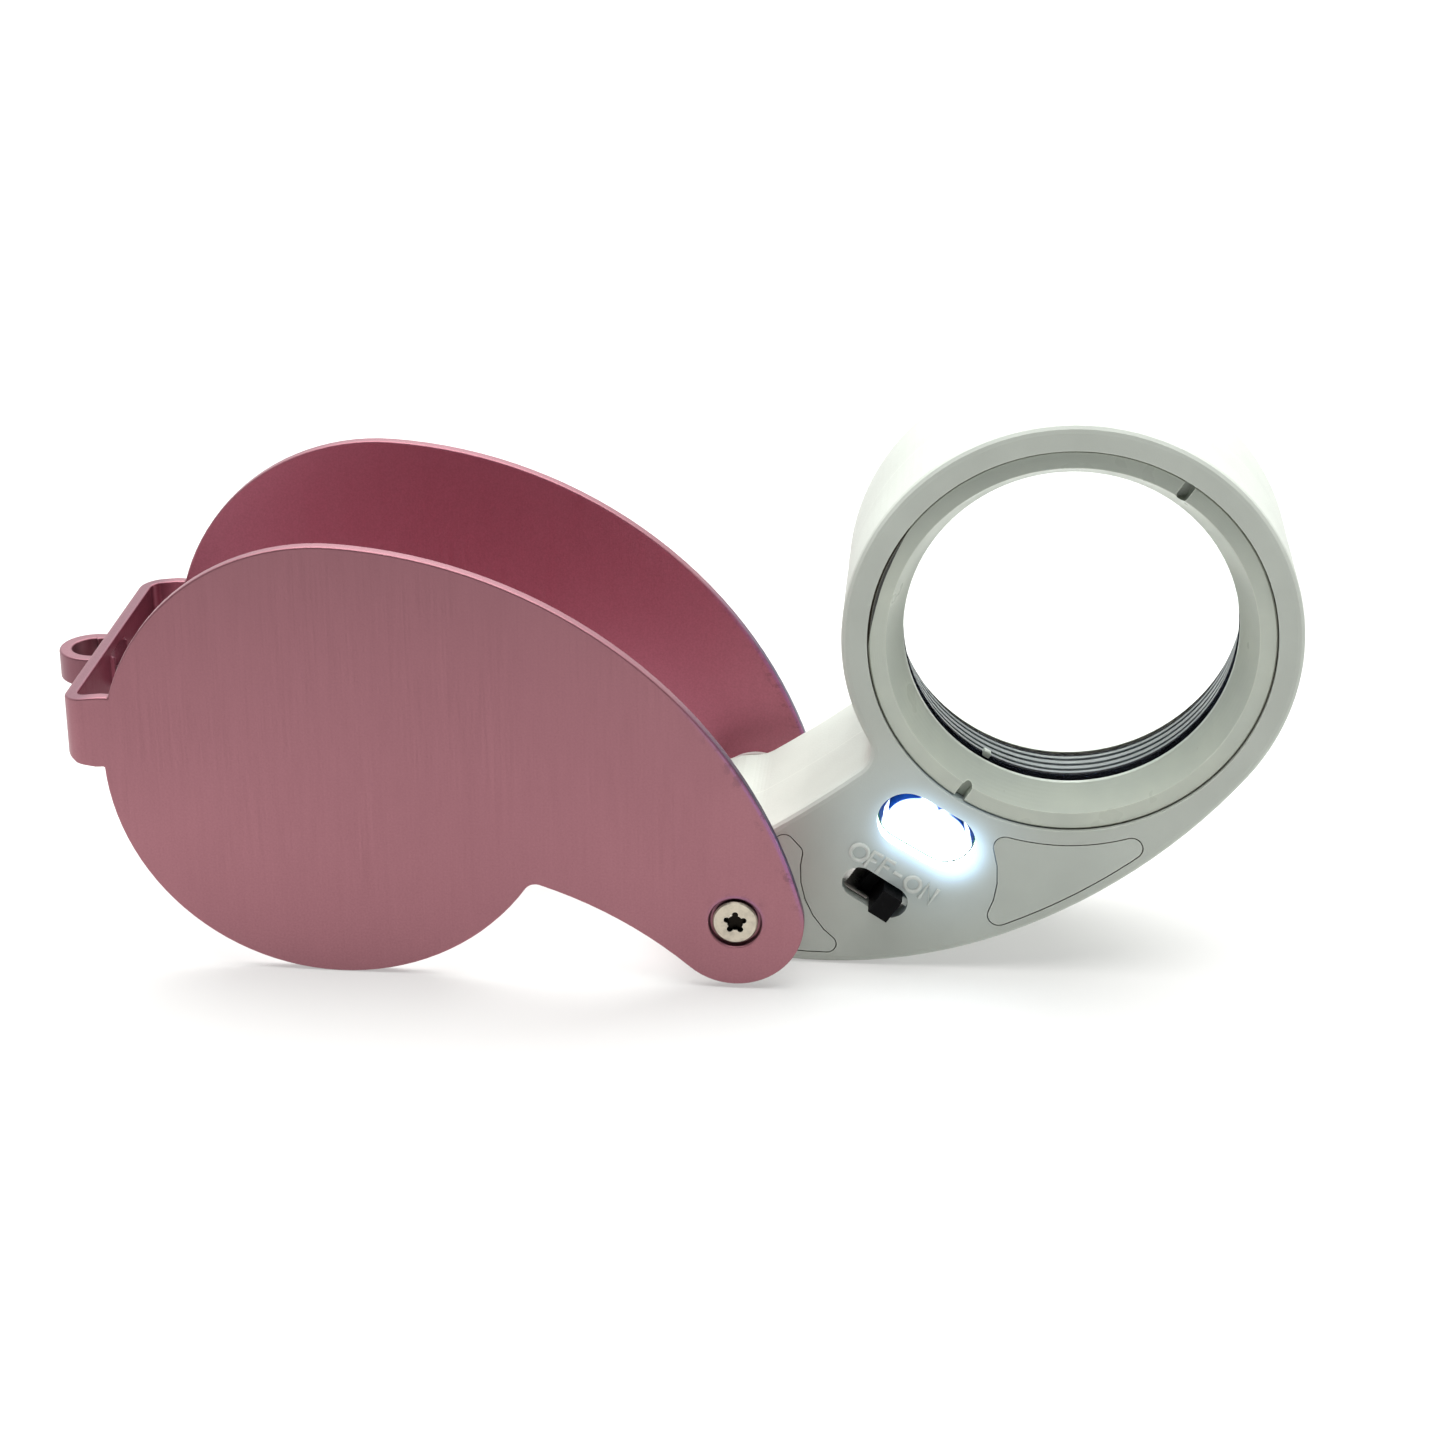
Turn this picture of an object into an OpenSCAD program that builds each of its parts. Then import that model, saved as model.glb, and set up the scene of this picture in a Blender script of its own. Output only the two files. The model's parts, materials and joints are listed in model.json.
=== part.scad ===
// Folding viewing loupe: a lens ring with two lamps that swings out of a bent sheet-metal case.
// Millimetres, +Z up, standing open on its edge. X runs along the case, Y through its thickness,
// and the origin is the bottom centre of the whole object.

/* [Case] */
// Radius of the case's round end, which covers the lens ring
case_r = 17.6; // [17.5:0.1:18]
// Radius of the case's small end, around the pivot
case_lobe_r = 5.3; // [5.2:0.1:5.6]
// Radius of the long back edge that joins the two ends
spine_r = 38; // [37:0.5:39]
// Radius of the hollow lower edge beside the pivot
notch_r = 33.5; // [33:0.5:34]
// Distance from the round end's centre to the hollow edge's centre
notch_reach = 41.7; // [41.5:0.1:42]
// Rounding where the hollow edge meets the round end
notch_fillet = 1; // [0.6:0.1:1.4]
// Thickness over both case plates
case_w = 25.6; // [25.2:0.2:27]
// Thickness of the case's sheet metal
sheet = 1; // [0.9:0.05:1.1]
// Slope of the case below level, from its round end to the pivot
case_slope = 21.25; // [21:0.05:21.5]

/* [Strap and eyelet] */
// Distance from the round end's centre to the strap's outer face
strap_x = 20.65; // [20.5:0.05:21]
// Height of the strap's lower edge
strap_z0 = 17.3; // [17:0.1:17.6]
// Height of the strap's upper edge
strap_z1 = 22.1; // [21.8:0.1:22.4]
// Outer radius of the strap's bends
bend_r = 1.7; // [1.5:0.1:2]
// How far the cord eyelet stands out of the strap
eyelet_out = 3.55; // [3.4:0.05:3.8]
// Outer radius of the eyelet's arch
eyelet_r = 2.8; // [2.6:0.05:3]
// Height of the eyelet's lower edge
eyelet_z = 18.95; // [18.8:0.05:19.2]
// Width of the eyelet's strip
eyelet_w = 2.35; // [2.2:0.05:2.5]

/* [Pivot] */
// Distance from the pivot to the centre of the lens ring
arm = 33; // [32.9:0.05:33.1]
// Angle of the lens arm above level
arm_rise = 41.63; // [41.5:0.01:41.8]
// Radius of the pivot sleeve
sleeve_r = 2; // [1.9:0.05:2.1]
// Running clearance around the sleeve
run = 0.05; // [0.03:0.01:0.08]
// Radius of the pivot screw's head
screw_head_r = 1.75; // [1.7:0.05:1.85]
// Radius of the pivot screw's thread
screw_r = 0.98; // [0.95:0.01:0.99]

/* [Lens arm] */
// Thickness of the lens arm
arm_w = 16.1; // [16:0.1:16.4]
// Outer radius of the lens ring
ring_r = 17.25; // [17.2:0.05:17.35]
// Radius of the arm's end around the pivot
arm_lobe_r = 5; // [4.95:0.01:5.05]
// Radius of the arm's heel, the edge that stands on the table
heel_r = 35.5; // [35.4:0.1:35.6]
// Radius of the flank between the heel and the ring
flank_r = 45; // [44.8:0.1:45.2]
// Direction from the ring's centre to the flank's centre
flank_dir = 101.6; // [101:0.1:102]
// Direction in which the flank passes into the heel
heel_dir = -107.4; // [-108:0.1:-107]
// Radius of the neck's hollow upper edge
neck_r = 88; // [80:1:96]
// Rounding between the neck and the ring
neck_fillet = 2; // [1.6:0.1:2.4]
// Rounding of the arm's outer edges
rim = 0.6; // [0.3:0.1:0.7]
// Wall thickness of the arm's two shells
wall = 1.4; // [1.2:0.1:1.5]

/* [Lenses] */
// Radius of the ring's bore
bore_r = 15.3; // [15.2:0.05:15.4]
// Radius of the clear opening
aperture_r = 12.65; // [12.4:0.05:12.8]
// Radius of each lens
lens_r = 13.4; // [13.3:0.05:13.5]
// Height of each lens's dome
lens_dome = 1.8; // [1.6:0.1:2.9]
// Thickness of each lens's edge
lens_edge = 1.4; // [1.2:0.1:1.4]

/* [Lamps and switch] */
// Centre of the lamp window, along and across the arm
lamp_at = [14.8, -4.95];
// Distance between the two lamps
lamp_pitch = 3.5; // [3.45:0.05:3.6]
// Width of the lamp window
lamp_slot_w = 4.6; // [4.4:0.1:4.7]
// Direction of the lamp window's long axis
lamp_dir = -71.9; // [-74:0.1:-70]
// Centre of the switch slot, along and across the arm
switch_at = [8.35, -6.45];
// Direction of the switch slot's long axis, towards ON
switch_dir = -74.3; // [-76:0.1:-72]
// Travel of the switch
travel = 2; // [1.8:0.1:2.1]
// Width of the switch slot
switch_slot_w = 2.7; // [2.6:0.1:2.8]

/* [Cells] */
// Radius of a button cell
cell_r = 4.75; // [4.6:0.05:4.8]
// Thickness of a button cell
cell_h = 2.7; // [2.5:0.1:2.7]
// Centre of the cell stack, along and across the arm
cell_at = [8.5, -6.2];

/* [Hidden] */

$fn = 96;
eps = 0.01;
far = 60;

function polar(c, r, a) = c + r * [cos(a), sin(a)];
function bearing(a, b) = atan2(b[1] - a[1], b[0] - a[0]);
// The crossing of circle (a, ra) and circle (b, rb); side 1 lies left of the line from a to b
function crossing(a, ra, b, rb, side) =
    let (d = norm(b - a), x = (d * d + ra * ra - rb * rb) / (2 * d), h = sqrt(ra * ra - x * x))
    a + x * (b - a) / d + side * h * [a[1] - b[1], b[0] - a[0]] / d;

// Case, in a frame centred under its round end
case_c = [0, case_r];
pivot = polar(case_c, arm, -case_slope);
spine_c = crossing(case_c, spine_r - case_r, pivot, spine_r - case_lobe_r, -1);
notch_c = crossing(case_c, notch_reach, pivot, notch_r + case_lobe_r, -1);
fillet_c = crossing(case_c, case_r + notch_fillet, notch_c, notch_r - notch_fillet, 1);
plate_in = case_w / 2 - sheet;      // inner face of a case plate
counterbore_r = screw_head_r + 0.3;
counterbore_d = 0.6;
screw_sink = 0.05;                  // the head's depth below the plate's face
shank_l = 5.2;
washer_t = 0.4;
washer_r = 3.4;

// Lens arm, in a frame at the pivot with its first axis towards the ring's centre
ring_c = [arm, 0];
flank_c = polar(ring_c, flank_r - ring_r, flank_dir);
heel_c = polar(flank_c, flank_r - heel_r, heel_dir);
neck_c = [18, neck_r + 2.05];
neck_fillet_c = crossing(ring_c, ring_r + neck_fillet, neck_c, neck_r - neck_fillet, 1);
lobe_fillet = 3;
lobe_fillet_c = crossing([0, 0], arm_lobe_r + lobe_fillet, neck_c, neck_r - lobe_fillet, -1);
fan_at = [20, -4];                  // a point that sees the whole outline
face = arm_w / 2;                   // the arm's front face is at -face, its rear face at +face
skin = face - wall;                 // inner side of those walls
spacer_r = 3.2;
spacer_y = plate_in - washer_t - run;
cavity_ring_r = 16.4;               // the cavity stops at this radius around the lens ring
cavity_boss_r = 3.5;                // and at this one around the pivot
inlay_t = 0.4;
inlay_edge = 0.9;
inlay_gap = 0.1;
inlay_hub = [10.8, -6.4];           // the inlays end at a circle around the lamps and switch
inlay_hub_r = 7.58;
inlay_ring_r = 16.45;
screw_at = [[18.6, -13], [1.9, -5.85], [4.75, 0.3]];    // hidden under the inlays
post_r = 1.5;
housing_screw_r = 0.7;
housing_head_r = 1.05;
housing_head_y = -face + inlay_t + 0.95;

// Lens stack, front half; the rear half mirrors it
retainer_y = -face + 0.3;
lip_y = -face + 3.6;                // back of the retaining ring, which holds the lens
lip_t = 0.4;
cone_r = 13.9;
lens_y = lip_y + 0.02;
lens_back = lens_y + lens_edge;
dome_r = (lens_r * lens_r + lens_dome * lens_dome) / (2 * lens_dome);
seat_front = lens_back + 0.36;      // the seat's flange clears the dome
seat_back = seat_front + 0.45;
fit = 0.05;                         // gap between parts that are fixed together
notch_dir = 16.8;                   // the spanner notches' direction in the arm's frame
notch_w = 0.9;
notch_in = 13.7;
groove_d = 0.45;

// Lamps, board, switch and cells
lamp_tip = -face + 0.5;
lamp_r = 1.5;
lamp_l = 4.75;
board_y = lamp_tip + lamp_l;
board_t = 0.8;
cells_y = board_y + board_t + 0.3;
cells_end = cells_y + 3 * cell_h;
switch_y = -skin;                   // front of the switch's frame, against the shell
nub = [1.7, 2.2];
nub_out = 1.3;                      // the switch knob's height above the face
slider_plate = [3.6, 2.6];
slider_y = [-5.95, -4.95];
frame_size = [8.6, 3.8];
frame_end = switch_y + 3.2;
frame_t = 0.4;
tube_in = cell_r + 0.15;
tube_out = tube_in + 0.7;
tube_y = 0.2;                       // the cell tube's front edge
door_r = 6;
door_t = 0.8;
door_screw_at = [16.4, -10.6];
door_ear_r = 1.9;
strip_w = 2.4;
strip_t = 0.2;
strip_dir = 60;                     // where the positive strip passes the cells

// The whole object's middle lies at the origin
mid_x = (pivot[0] + arm * cos(arm_rise) + ring_r - strap_x - eyelet_out) / 2;

module case_frame() translate([-mid_x, 0, 0]) children();
module arm_frame() case_frame() translate([pivot[0], 0, pivot[1]]) rotate([0, -arm_rise, 0]) children();
// A flat outline drawn in X and Z, given thickness from y0 to y1
module slab(y0, y1) translate([0, y1, 0]) rotate([90, 0, 0]) linear_extrude(y1 - y0) children();
// A profile of [radius, y] points turned about an axis along Y through p
module turned(p = [0, 0]) translate([p[0], 0, p[1]]) rotate([-90, 0, 0]) rotate_extrude() children();
module disc(p, r, y0, y1) turned(p) translate([0, y0]) square([r, y1 - y0]);
module disc_ring(p, r0, r1, y0, y1) turned(p) translate([r0, y0]) square([r1 - r0, y1 - y0]);
module at(p, a = 0) translate(p) rotate(a) children();
// A round-ended bar of width w along direction a, with its end centres a distance l apart
module bar(l, w) {
    square([l, w], center = true);
    for (s = [-1, 1]) translate([s * l / 2, 0]) circle(d = w);
}
// Two circles and the belt around them
module belt(p, rp, q, rq) {
    a = bearing(p, q);
    b = acos((rp - rq) / norm(q - p));
    translate(p) circle(rp);
    translate(q) circle(rq);
    polygon([polar(p, rp, a + b), polar(q, rq, a + b), polar(q, rq, a - b), polar(p, rp, a - b)]);
}
module round_corners(r) offset(r = r) offset(delta = -r) children();

// ---- case ----

module case_outline() {
    translate(case_c) circle(case_r, $fn = 160);
    translate(pivot) circle(case_lobe_r);
    difference() {
        intersection() {
            translate(spine_c) circle(spine_r, $fn = 240);
            polygon([case_c, polar(spine_c, far, bearing(spine_c, case_c)),
                polar(spine_c, 1.6 * far, 50), polar(spine_c, far, bearing(spine_c, pivot)),
                pivot, polar(pivot, case_lobe_r, bearing(pivot, notch_c)), notch_c]);
        }
        translate(notch_c) circle(notch_r, $fn = 240);
    }
    // The rounded corner between the round end and the hollow edge
    difference() {
        polygon([case_c, polar(fillet_c, -notch_fillet - 1, bearing(fillet_c, case_c) + 180),
            fillet_c, polar(fillet_c, notch_fillet + 1, bearing(notch_c, fillet_c))]);
        translate(fillet_c) circle(notch_fillet);
    }
}

// Side view of the strap and its two tabs
module strap_side() {
    reach = strap_x - 3;
    polygon([[-strap_x, strap_z0], [-strap_x, strap_z1], [-reach, strap_z1 + 0.35],
        [-case_r / 2, strap_z1], [-case_r / 2, strap_z0], [-reach - 0.6, strap_z0 - 0.65],
        [-strap_x + 0.9, strap_z0 - 0.45]]);
}

// Top view of the strap: a U with round bends
module strap_top() {
    inner_r = bend_r - sheet;
    half = case_w / 2;
    module u(x, h, r) {
        for (s = [-1, 1]) translate([x + r, s * (h - r)]) circle(r);
        translate([x, -h + r]) square([2 * r, 2 * (h - r)]);
        translate([x + r, -h]) square([case_r / 2, 2 * h]);
    }
    difference() {
        u(-strap_x, half, bend_r);
        u(-strap_x + sheet, half - sheet, inner_r);
        translate([-case_r / 2 - 3, -case_w]) square(2 * case_w);
    }
}

// Top view of the eyelet: an arch of radius r that starts inside the strap
module arch(r) translate([eyelet_r - eyelet_out, 0]) {
    circle(r);
    translate([0, -r]) square([eyelet_out - eyelet_r + sheet / 2, 2 * r]);
}

module case_shell() color([0.61, 0.41, 0.45]) case_frame() difference() {
    eyelet_in = eyelet_r - sheet;
    union() {
        for (s = [-1, 1]) slab(s > 0 ? plate_in : -case_w / 2, s > 0 ? case_w / 2 : -plate_in)
            case_outline();
        intersection() {
            translate([0, 0, strap_z0 - 2]) linear_extrude(strap_z1 - strap_z0 + 4) strap_top();
            slab(-case_w, case_w) strap_side();
        }
        // The eyelet is an arch pushed out of the strap
        translate([-strap_x, 0, eyelet_z]) linear_extrude(eyelet_w) difference() {
            arch(eyelet_r);
            arch(eyelet_in);
        }
    }
    translate([-strap_x - sheet, -eyelet_in, eyelet_z]) cube([3 * sheet, 2 * eyelet_in, eyelet_w]);
    for (s = [-1, 1]) {
        disc(pivot, screw_r + 0.1, s * case_w / 2 - sheet - eps, s * case_w / 2 + sheet + eps);
        disc(pivot, counterbore_r, s * case_w / 2 - counterbore_d, s * case_w / 2 + counterbore_d);
    }
}

module pivot_sleeve() color([0.75, 0.73, 0.68]) case_frame() difference() {
    disc(pivot, sleeve_r, -plate_in, plate_in);
    for (s = [-1, 1]) disc(pivot, screw_r + 0.02, s * plate_in - shank_l - 0.5, s * plate_in + shank_l + 0.5);
}

// A pivot screw whose head faces -Y, with a five-lobed socket
module pivot_screw() {
    top = -case_w / 2 + screw_sink;
    under = -case_w / 2 + counterbore_d;
    difference() {
        union() {
            turned(pivot) polygon([[0, top], [screw_head_r - 0.12, top], [screw_head_r, top + 0.12],
                [screw_head_r, under], [0, under]]);
            disc(pivot, screw_r, under, -plate_in + shank_l);
        }
        slab(top - 1, top + 0.45) at(pivot, 90) {
            circle(0.62, $fn = 24);
            for (i = [0:4]) rotate(72 * i) translate([0.68, 0]) circle(0.24, $fn = 24);
        }
    }
}

module pivot_screws() color([0.72, 0.69, 0.6]) case_frame() {
    pivot_screw();
    mirror([0, 1, 0]) pivot_screw();
}

module pivot_spacer() disc_ring([0, 0], sleeve_r + run, spacer_r, -spacer_y, -face - 0.02);
module front_pivot_spacer() color([0.9, 0.9, 0.87]) arm_frame() pivot_spacer();
module rear_pivot_spacer() color([0.9, 0.9, 0.87]) arm_frame() mirror([0, 1, 0]) pivot_spacer();

module friction_washer() disc_ring(pivot, sleeve_r + run, washer_r, -plate_in, washer_t - plate_in);
module front_friction_washer() color([0.85, 0.85, 0.8]) case_frame() friction_washer();
module rear_friction_washer() color([0.85, 0.85, 0.8]) case_frame() mirror([0, 1, 0]) friction_washer();

// ---- lens arm shells ----

// Points along an arc, without its last one, so that arcs join end to end
function arc(c, r, a0, a1, n) = [for (i = [0:n - 1]) polar(c, r, a0 + (a1 - a0) * i / n)];
// The arm's outline drawn smaller by inset: lobe, heel, flank, ring, neck fillet, neck, lobe fillet
function arm_points(inset) = let (
    lobe_end = bearing(heel_c, [0, 0]) + 360,
    heel_end = heel_dir + 360,
    flank_end = flank_dir + 180,
    ring_end = bearing(ring_c, neck_fillet_c),
    neck_start = bearing(neck_c, neck_fillet_c),
    neck_end = bearing(neck_c, lobe_fillet_c),
    lobe_start = bearing([0, 0], lobe_fillet_c)
) concat(
    arc([0, 0], arm_lobe_r - inset, lobe_start, lobe_end, 24),
    arc(heel_c, heel_r - inset, lobe_end, heel_end, 14),
    arc(flank_c, flank_r - inset, heel_end, flank_end, 14),
    arc(ring_c, ring_r - inset, flank_end - 360, ring_end, 80),
    arc(neck_fillet_c, neck_fillet + inset, ring_end - 180, neck_start, 8),
    arc(neck_c, neck_r + inset, neck_start, neck_end, 5),
    arc(lobe_fillet_c, lobe_fillet + inset, neck_end, lobe_start - 180, 5)
);
module arm_outline(inset) polygon(arm_points(inset));

// The arm's front half: a loft through outlines that round its front edge, cut flat at both
// ends. Its own ends lie beyond the cuts, as fans around a point that sees the whole outline.
module arm_half() intersection() {
    corner = [for (a = [30, 60, 90]) [rim * (1 - sin(a)), -face + rim * (1 - cos(a))]];
    levels = concat([2 * [rim, -face] - corner[0]], corner, [[0, 1]]);
    n = len(arm_points(0));
    top = len(levels) - 1;
    hub = (top + 1) * n;
    polyhedron(
        concat([for (l = levels) for (p = arm_points(l[0])) [p[0], l[1], p[1]]],
            [for (l = [levels[0], levels[top]]) [fan_at[0], l[1], fan_at[1]]]),
        [for (i = [0:n - 1]) let (j = (i + 1) % n) each concat(
            [[hub, j, i], [hub + 1, top * n + i, top * n + j]],
            [for (k = [0:top - 1]) [k * n + i, k * n + j, (k + 1) * n + j, (k + 1) * n + i]])]
    );
    translate([-far, -face, -far]) cube([3 * far, face, 2 * far]);
}

// The hollow inside both shells
module cavity() difference() {
    arm_outline(wall);
    translate(ring_c) circle(cavity_ring_r, $fn = 160);
    circle(cavity_boss_r);
    for (p = screw_at) translate(p) circle(post_r);
}

// One inlay's pocket: the part of the face inside region, a box and its corners' rounding
module inlay_outline(region) round_corners(0.4, $fn = 32) difference() {
    round_corners(region[2], $fn = 32) intersection() {
        difference() {
            arm_outline(inlay_edge);
            translate(ring_c) circle(inlay_ring_r, $fn = 160);
            translate(inlay_hub) circle(inlay_hub_r);
        }
        translate(region[0]) square(region[1] - region[0]);
    }
    circle(spacer_r + 0.2);
}
pivot_side = [[-8, -8.4], [6.45, 8], 0.8];
ring_side = [[13.4, -20], [40, 0], 0.95];

module lamp_window() at(lamp_at, lamp_dir) bar(lamp_pitch, lamp_slot_w);
module switch_slot() at(switch_at, switch_dir) bar(travel + 0.9, switch_slot_w);

module front_housing() color([0.72, 0.74, 0.7]) arm_frame() difference() {
    arm_half();
    slab(-skin, 1) cavity();
    disc(ring_c, bore_r, -face - 1, 1);
    disc([0, 0], sleeve_r + run, -face - 1, 1);
    slab(-face - 1, -face + inlay_t) {
        inlay_outline(pivot_side);
        inlay_outline(ring_side);
    }
    slab(-face - 1, -skin + 1) {
        lamp_window();
        switch_slot();
    }
    for (p = screw_at) {
        disc(p, housing_screw_r + 0.05, -face, 1);
        disc(p, housing_head_r + 0.1, -face, housing_head_y);
    }
}

module rear_housing() color([0.72, 0.74, 0.7]) arm_frame() difference() {
    mirror([0, 1, 0]) arm_half();
    slab(-1, tube_y) cavity();
    // What is left standing inside is the tube around the cells and the door screw's post
    slab(tube_y - eps, skin) difference() {
        cavity();
        translate(cell_at) circle(tube_out);
        translate(door_screw_at) circle(post_r);
    }
    disc(cell_at, tube_in, -1, face + 1);
    disc(ring_c, bore_r, -1, face + 1);
    disc([0, 0], sleeve_r + run, -1, face + 1);
    slab(face - door_t, face + 1) belt(cell_at, door_r, door_screw_at, door_ear_r);
    disc(door_screw_at, housing_screw_r + 0.02, 2.5, face);
    for (p = screw_at) disc(p, housing_screw_r + 0.02, -1, skin - 1);
    // A slot in the cell tube lets the positive strip through
    slab(-1, face - door_t) at(cell_at, strip_dir) translate([cell_r, -strip_w / 2 - 0.1])
        square([1.6, strip_w + 0.2]);
}

// ---- lens stack ----

module retaining_ring() difference() {
    turned(ring_c) polygon([[cone_r, retainer_y], [bore_r - fit - 0.15, retainer_y],
        [bore_r - fit, retainer_y + 0.15], [bore_r - fit, lip_y], [aperture_r, lip_y],
        [aperture_r, lip_y - lip_t]]);
    for (a = [notch_dir, notch_dir + 180]) slab(retainer_y - 1, retainer_y + 1) at(ring_c, a) {
        translate([notch_in + notch_w / 2, -notch_w / 2]) square([3, notch_w]);
        translate([notch_in + notch_w / 2, 0]) circle(d = notch_w, $fn = 24);
    }
}
module lens() intersection() {
    disc(ring_c, lens_r, lens_y, lens_back + lens_dome);
    translate([ring_c[0], lens_back + lens_dome - dome_r, ring_c[1]]) sphere(dome_r, $fn = 200);
}
module lens_seat() turned(ring_c) polygon([[lens_r + fit, lens_y], [bore_r - fit, lens_y],
    [bore_r - fit, seat_back], [aperture_r, seat_back], [aperture_r, seat_front],
    [lens_r + fit, lens_back + 0.02]]);

module front_retaining_ring() color([0.8, 0.82, 0.76]) arm_frame() retaining_ring();
module rear_retaining_ring() color([0.8, 0.82, 0.76]) arm_frame() mirror([0, 1, 0]) retaining_ring();
module front_lens() color([0.8, 0.9, 0.95, 0.4]) arm_frame() lens();
module rear_lens() color([0.8, 0.9, 0.95, 0.4]) arm_frame() mirror([0, 1, 0]) lens();
module front_lens_seat() color([0.05, 0.05, 0.05]) arm_frame() lens_seat();
module rear_lens_seat() color([0.05, 0.05, 0.05]) arm_frame() mirror([0, 1, 0]) lens_seat();

module lens_spacer() color([0.55, 0.58, 0.55]) arm_frame() difference() {
    half = -seat_back - 0.02;
    turned(ring_c) translate([aperture_r, -half]) square([bore_r - fit - aperture_r, 2 * half]);
    for (i = [-1:1]) turned(ring_c) translate([0, i * half * 0.62])
        polygon([[aperture_r - 1, -0.7], [aperture_r - 1, 0.7], [aperture_r + groove_d, 0.12],
            [aperture_r + groove_d, -0.12]]);
}

// ---- inlays and fasteners ----

module inlay(region) slab(-face + 0.02, -face + inlay_t - 0.02) offset(delta = -inlay_gap)
    inlay_outline(region);
module pivot_side_inlay() color([0.7, 0.73, 0.69]) arm_frame() inlay(pivot_side);
module ring_side_inlay() color([0.7, 0.73, 0.69]) arm_frame() inlay(ring_side);

// A small screw whose head's underside is at y, pointing to +Y
module small_screw(p, y, length) difference() {
    union() {
        disc(p, housing_head_r, y - 0.8, y);
        disc(p, housing_screw_r, y - 0.1, y + length);
    }
    slab(y - 1, y - 0.4) at(p) for (a = [0, 90]) rotate(a) square([1.6, 0.4], center = true);
}
module housing_screws() color([0.7, 0.68, 0.62]) arm_frame()
    for (p = screw_at) small_screw(p, housing_head_y - 0.02, skin - housing_head_y - 1.5);

// ---- lamps, board and switch ----

function lamp_place(i) = polar(lamp_at, lamp_pitch / 2, lamp_dir + (i > 0 ? 0 : 180));
module lamp(i) turned(lamp_place(i)) {
    intersection() {
        union() {
            translate([0, lamp_tip + lamp_r]) circle(lamp_r, $fn = 64);
            translate([0, lamp_tip + lamp_r]) square([lamp_r, lamp_l - lamp_r]);
            translate([0, board_y - 0.7]) square([1.7, 0.7]);
        }
        translate([0, lamp_tip]) square([2, lamp_l]);
    }
}
module upper_lamp() color([0.9, 0.95, 1, 0.8]) arm_frame() lamp(0);
module lower_lamp() color([0.9, 0.95, 1, 0.8]) arm_frame() lamp(1);

// A tray behind the window that holds the two lamps and throws their light forward
module lamp_reflector() color([0.93, 0.93, 0.9]) arm_frame() difference() {
    slab(-skin, board_y - 0.8) at(lamp_at, lamp_dir) intersection() {
        bar(lamp_pitch, lamp_slot_w - 0.2);
        square([lamp_pitch + lamp_slot_w, lamp_slot_w], center = true);
    }
    slab(-skin - 1, -skin + 1.4) at(lamp_at, lamp_dir) bar(lamp_pitch, lamp_slot_w - 0.9);
    for (i = [0, 1]) disc(lamp_place(i), lamp_r + 0.04, -face, board_y);
}

board_c = [11, -6];
board_r = 6.2;
module circuit_board() color([0.1, 0.4, 0.2]) arm_frame() difference() {
    slab(board_y + 0.02, board_y + board_t) difference() {
        intersection() {
            arm_outline(wall + 0.3);
            translate(board_c) circle(board_r);
        }
        translate(ring_c) circle(cavity_ring_r + 0.3, $fn = 160);
        for (p = screw_at) translate(p) circle(post_r + 0.2);
    }
}
module resistor() color([0.1, 0.1, 0.1]) arm_frame() slab(board_y - 0.55, board_y)
    at([12.8, -9.8], 20) square([2, 1.2], center = true);

module switch_frame() color([0.7, 0.7, 0.68]) arm_frame() difference() {
    slab(switch_y + 0.02, frame_end) at(switch_at, switch_dir) square(frame_size, center = true);
    slab(switch_y + frame_t, frame_end - frame_t) at(switch_at, switch_dir)
        square(frame_size - 2 * [frame_t, frame_t], center = true);
    slab(switch_y - 1, switch_y + 1) at(switch_at, switch_dir)
        square([nub[0] + travel + 0.4, nub[1] + 0.3], center = true);
}
// The slider stands at ON
module switch_slider() color([0.08, 0.08, 0.08]) arm_frame() {
    slab(slider_y[0], slider_y[1]) at(switch_at, switch_dir) translate([travel / 2, 0])
        square(slider_plate, center = true);
    slab(-face - nub_out, slider_y[0] + eps) at(switch_at, switch_dir) translate([travel / 2, 0])
        square(nub, center = true);
}

// ---- cells, contacts and door ----

module button_cell(i) {
    y = cells_y + i * cell_h;
    turned(cell_at) polygon([[0, y + 0.01], [cell_r - 0.9, y + 0.01], [cell_r - 0.8, y + 0.35],
        [cell_r, y + 0.5], [cell_r, y + cell_h - 0.2], [cell_r - 0.2, y + cell_h - 0.01],
        [0, y + cell_h - 0.01]]);
}
module button_cell_1() color([0.8, 0.8, 0.78]) arm_frame() button_cell(0);
module button_cell_2() color([0.8, 0.8, 0.78]) arm_frame() button_cell(1);
module button_cell_3() color([0.8, 0.8, 0.78]) arm_frame() button_cell(2);

module negative_contact() color([0.85, 0.75, 0.4]) arm_frame()
    slab(board_y + board_t + 0.01, cells_y) at(cell_at) circle(2.6);
// A strip across the last cell and down beside the stack to the board
module positive_contact() color([0.85, 0.75, 0.4]) arm_frame() {
    slab(cells_end, cells_end + strip_t) at(cell_at, strip_dir)
        translate([-3, -strip_w / 2]) square([cell_r + 3 + 0.5, strip_w]);
    slab(board_y + board_t + 0.01, cells_end + strip_t) at(cell_at, strip_dir)
        translate([cell_r + 0.3, -strip_w / 2]) square([strip_t, strip_w]);
}

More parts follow.
